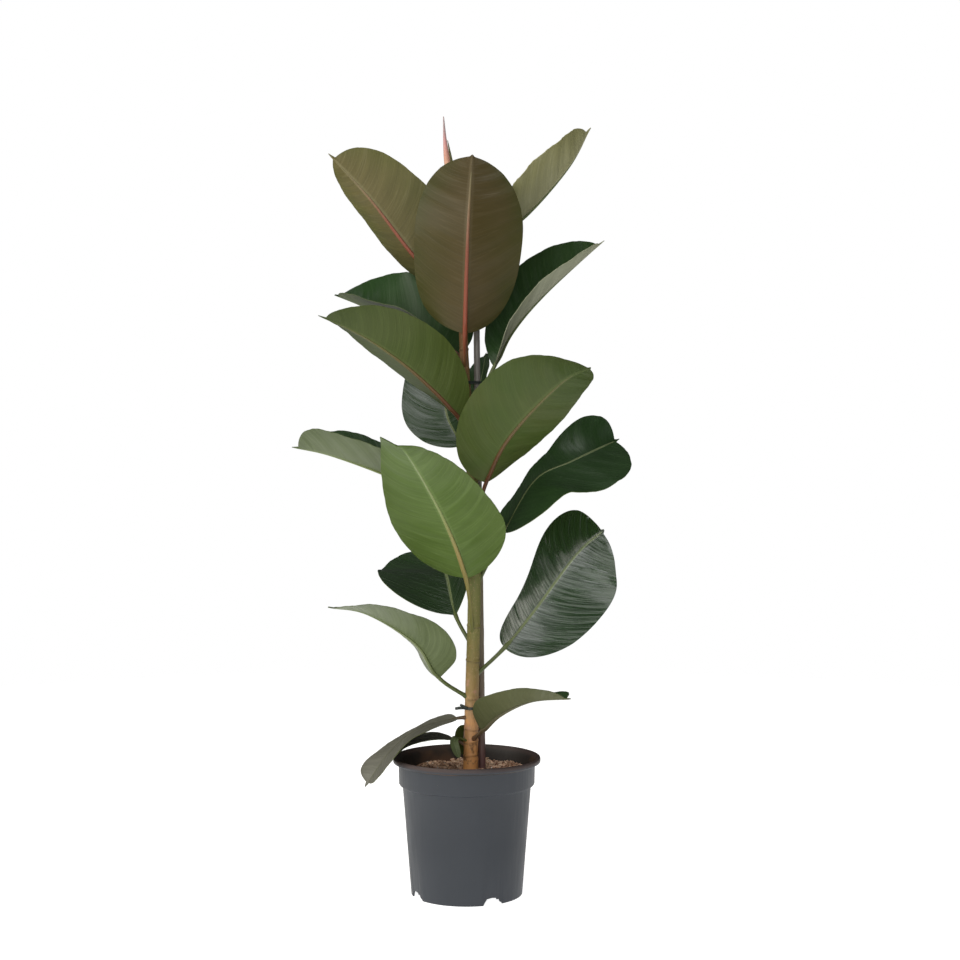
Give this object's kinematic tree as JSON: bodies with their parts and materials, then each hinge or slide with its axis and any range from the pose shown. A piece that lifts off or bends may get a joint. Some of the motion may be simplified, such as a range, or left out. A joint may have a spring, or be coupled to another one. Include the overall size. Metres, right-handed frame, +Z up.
{
  "type": "potted rubber plant",
  "caption": "Young rubber plant with large leathery leaves on stalks round one upright trunk, tied to a cane, in a round grey nursery pot with a thick lip.",
  "frame": {"origin": "middle of the pot's flat base, on the surface it stands on", "axes": "+Z up along the pot's axis; -Y towards the viewer of the picture; +X to the viewer's right"},
  "size_m": [0.4445, 0.3836, 0.999],
  "materials": {
    "pot_plastic": "injection-moulded polypropylene, satin, slate grey",
    "potting_soil": "loose coir and bark chips with pale grains, matt",
    "bark": "thin smooth bark, tan and corky at the foot, olive green upward, with leaf-scar rings",
    "cane": "weathered round cane, satin",
    "tie": "soft garden tie, dark green, matt",
    "pink_sheath": "smooth living bud sheath, orange low down and pink above, satin",
    "dark_leaf": "top side of a living leathery leaf, very dark green, waxy gloss with fine side veins and pale midrib",
    "olive_underside": "underside of a living leathery leaf, olive green, satin, midrib red-brown near the foot",
    "pale_underside": "underside of a living leathery leaf, pale grey-green, satin",
    "bright_underside": "underside of a living leathery leaf, bright green with yellowish midrib, satin"
  },
  "bodies": {
    "root": {"pot": "pot_plastic", "soil": "potting_soil", "stem": "bark", "stake": "cane", "tie_low": "tie", "tie_high": "tie", "sheath": "pink_sheath", "young_leaf": "dark_leaf", "leaf_01": "olive_underside", "leaf_02": "olive_underside", "leaf_03": "olive_underside", "leaf_04": "dark_leaf", "leaf_05": "dark_leaf", "leaf_06": "olive_underside", "leaf_07": "dark_leaf", "leaf_08": "dark_leaf", "leaf_09": "olive_underside", "leaf_10": "dark_leaf", "leaf_11": "dark_leaf", "leaf_12": "pale_underside", "leaf_13": "bright_underside", "leaf_14": "dark_leaf", "leaf_15": "pale_underside", "leaf_16": "olive_underside", "leaf_17": "dark_leaf", "leaf_18": "dark_leaf", "leaf_19": "bright_underside", "leaf_20": "dark_leaf"}
  },
  "joints": []
}
